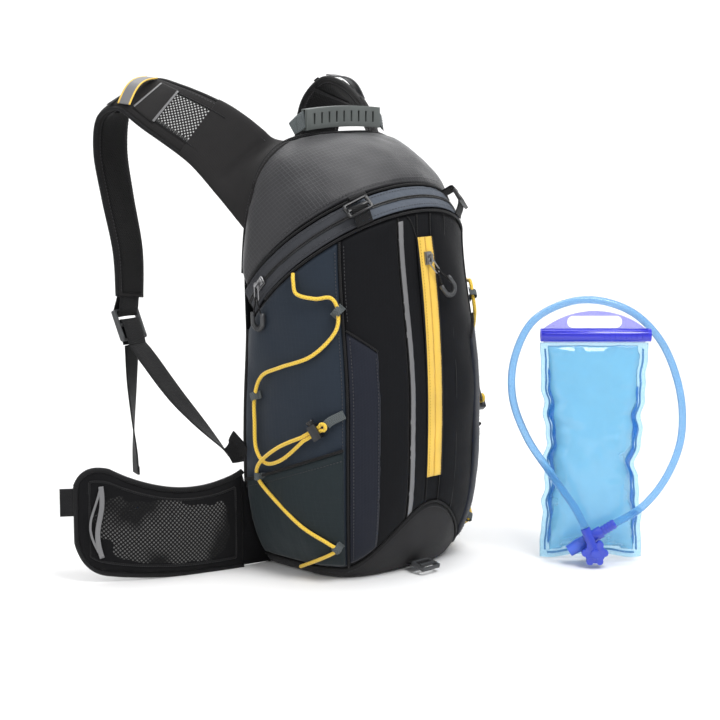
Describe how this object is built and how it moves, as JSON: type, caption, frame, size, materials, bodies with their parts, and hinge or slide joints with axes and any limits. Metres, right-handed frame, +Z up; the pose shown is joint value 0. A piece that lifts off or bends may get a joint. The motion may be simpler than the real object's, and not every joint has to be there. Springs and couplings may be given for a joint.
{
  "type": "hydration pack",
  "caption": "Small cycling backpack with padded straps, hip belt wings, elastic side cords and two zips, with its water reservoir and drinking tube standing beside it.",
  "frame": {"origin": "middle of the pack's base, on the floor", "axes": "+Z up, -Y out of the pack's outer face, +Y towards the wearer's back, +X to the right seen from the outer face"},
  "size_m": [0.5738, 0.4871, 0.4944],
  "materials": {
    "black_ripstop": "black ripstop nylon, faint sheen",
    "charcoal_ripstop": "charcoal ripstop nylon with a soft sheen",
    "slate_nylon": "dark slate-blue nylon",
    "green_grey_nylon": "dark green-grey nylon",
    "navy_nylon": "near-black navy ripstop",
    "base_cloth": "hard-wearing black polyester",
    "air_mesh": "padded spacer mesh",
    "sleeve_cloth": "plain lining",
    "zip_grey": "grey-blue zip tape",
    "zip_yellow": "coated yellow zip tape",
    "reflective": "grey reflective tape",
    "cord_yellow": "woven yellow elastic cord",
    "webbing_black": "black polyester webbing",
    "webbing_grey": "grey-green webbing",
    "black_plastic": "acetal, satin black",
    "grey_plastic": "acetal, satin dark grey",
    "grip_rubber": "soft grey-green rubber",
    "metal": "nickel-plated zip hardware",
    "film_blue": "translucent sky-blue film",
    "handle_blue": "translucent violet-blue plastic",
    "clamp_blue": "royal-blue plastic",
    "tube_blue": "translucent blue tube",
    "valve_blue": "blue plastic",
    "mouth_blue": "soft blue silicone"
  },
  "bodies": {
    "pack": {"back_panel": "air_mesh", "back_pads": "air_mesh", "yoke": "black_ripstop", "reservoir_sleeve": "sleeve_cloth", "reservoir_hanger": "webbing_black", "hose_port": "grip_rubber", "front_panel_left": "black_ripstop", "front_panel_centre": "black_ripstop", "front_panel_right": "black_ripstop", "side_panel_left": "slate_nylon", "side_panel_right": "slate_nylon", "gusset_left": "navy_nylon", "gusset_right": "navy_nylon", "side_pocket_left": "green_grey_nylon", "side_pocket_right": "green_grey_nylon", "top_panel": "charcoal_ripstop", "base_panel": "base_cloth", "base_skirt": "base_cloth", "main_zip_band": "zip_grey", "front_zip_tape": "zip_yellow", "reflective_strip": "reflective", "cord_loops_left": "webbing_grey", "cord_loops_right": "webbing_grey", "elastic_cord_left": "cord_yellow", "elastic_cord_right": "cord_yellow", "cord_lock_left": "black_plastic", "cord_lock_right": "black_plastic", "top_buckle_loops": "webbing_black", "bottom_loop": "webbing_black", "strap_anchors": "webbing_black"},
    "main_slider": {"main_zip_slider": "metal"},
    "main_pull": {"main_zip_pull": "grip_rubber"},
    "front_slider": {"front_zip_slider": "metal"},
    "front_pull": {"front_zip_pull": "grip_rubber"},
    "handle": {"handle_webbing": "webbing_grey", "handle_grip": "grip_rubber"},
    "bottom_buckle": {"bottom_buckle": "grey_plastic"},
    "reservoir": {"reservoir_bag": "film_blue", "reservoir_handle": "handle_blue", "outlet_fitting": "valve_blue", "drinking_tube": "tube_blue", "bite_valve_body": "valve_blue"},
    "clamp": {"slide_clamp": "clamp_blue"},
    "valve": {"bite_valve_mouthpiece": "mouth_blue"},
    "strap_left": {"strap_pad_left": "black_ripstop", "hose_keeper_left": "reflective", "strap_webbing_left": "webbing_black"},
    "ladder_left": {"ladder_lock_left": "grey_plastic"},
    "belt_left": {"belt_wing_left": "air_mesh", "belt_tab_left": "webbing_black"},
    "button_left": {"cord_lock_button_left": "black_plastic"},
    "buckle_left": {"top_buckle_left": "black_plastic"},
    "strap_right": {"strap_pad_right": "black_ripstop", "hose_keeper_right": "reflective", "strap_webbing_right": "webbing_black"},
    "ladder_right": {"ladder_lock_right": "grey_plastic"},
    "belt_right": {"belt_wing_right": "air_mesh", "belt_tab_right": "webbing_black"},
    "button_right": {"cord_lock_button_right": "black_plastic"},
    "buckle_right": {"top_buckle_right": "black_plastic"}
  },
  "joints": [
    {"name": "main_zip", "type": "hinge", "parent": "pack", "child": "main_slider", "pos_m": [0, 0.029, 0.3], "axis": [0, 0.6561, 0.7547], "range_deg": [0, 186]},
    {"name": "main_pull_swing", "type": "hinge", "parent": "main_slider", "child": "main_pull", "pos_m": [-0.12469, 0.03785, 0.29231], "axis": [-0.9976, 0.0526, -0.0458], "range_deg": [-90, 60]},
    {"name": "front_zip", "type": "hinge", "parent": "pack", "child": "front_slider", "pos_m": [0, 0.97611, 0.15691], "axis": [1, 0, 0], "range_deg": [0, 11]},
    {"name": "front_pull_swing", "type": "hinge", "parent": "front_slider", "child": "front_pull", "pos_m": [0, -0.0808, 0.31652], "axis": [0, -0.9884, 0.1521], "range_deg": [-76, 50]},
    {"name": "handle_swing", "type": "hinge", "parent": "pack", "child": "handle", "pos_m": [0, 0.045, 0.442], "axis": [1, 0, 0], "range_deg": [-20, 25]},
    {"name": "strap_swing_left", "type": "hinge", "parent": "pack", "child": "strap_left", "pos_m": [-0.097, 0.082, 0.405], "axis": [0.1032, -0.0069, 0.9946], "range_deg": [-5, 10]},
    {"name": "ladder_lock_tilt_left", "type": "hinge", "parent": "strap_left", "child": "ladder_left", "pos_m": [-0.1495, 0.213, 0.2555], "axis": [1, 0, 0], "range_deg": [-20, 25]},
    {"name": "belt_wrap_left", "type": "hinge", "parent": "pack", "child": "belt_left", "pos_m": [-0.115, 0.072, 0.05], "axis": [0, 0, -1], "range_deg": [-25, 35]},
    {"name": "cord_button_left", "type": "slide", "parent": "pack", "child": "button_left", "axis": [0.2146, -0.4865, -0.8469], "range_m": [0, 0.0024]},
    {"name": "top_buckle_tilt_left", "type": "hinge", "parent": "pack", "child": "buckle_left", "pos_m": [-0.07348, -0.04633, 0.37939], "axis": [-0.829, 0.422, -0.3669], "range_deg": [0, 40]},
    {"name": "strap_swing_right", "type": "hinge", "parent": "pack", "child": "strap_right", "pos_m": [0.097, 0.082, 0.405], "axis": [0.1032, 0.0069, -0.9946], "range_deg": [-5, 10]},
    {"name": "ladder_lock_tilt_right", "type": "hinge", "parent": "strap_right", "child": "ladder_right", "pos_m": [0.1495, 0.213, 0.2555], "axis": [1, 0, 0], "range_deg": [-20, 25]},
    {"name": "belt_wrap_right", "type": "hinge", "parent": "pack", "child": "belt_right", "pos_m": [0.115, 0.072, 0.05], "axis": [0, 0, 1], "range_deg": [-25, 35]},
    {"name": "cord_button_right", "type": "slide", "parent": "pack", "child": "button_right", "axis": [-0.2146, -0.4865, -0.8469], "range_m": [0, 0.0024]},
    {"name": "top_buckle_tilt_right", "type": "hinge", "parent": "pack", "child": "buckle_right", "pos_m": [0.07348, -0.04633, 0.37939], "axis": [-0.829, -0.422, 0.3669], "range_deg": [0, 40]},
    {"name": "bottom_buckle_tilt", "type": "hinge", "parent": "pack", "child": "bottom_buckle", "pos_m": [0, -0.068, 0.01], "axis": [-1, 0, 0], "range_deg": [0, 50]},
    {"name": "reservoir_lift", "type": "slide", "parent": "pack", "child": "reservoir", "axis": [0, 0, 1], "range_m": [0, 0.3]},
    {"name": "clamp_slide", "type": "slide", "parent": "reservoir", "child": "clamp", "axis": [0.7071, -0.7071, 0], "range_m": [0, 0.112]},
    {"name": "valve_twist", "type": "hinge", "parent": "reservoir", "child": "valve", "pos_m": [0.15802, -0.19281, 0.0436], "axis": [-0.5997, 0.5997, -0.5299], "range_deg": [0, 90]}
  ]
}
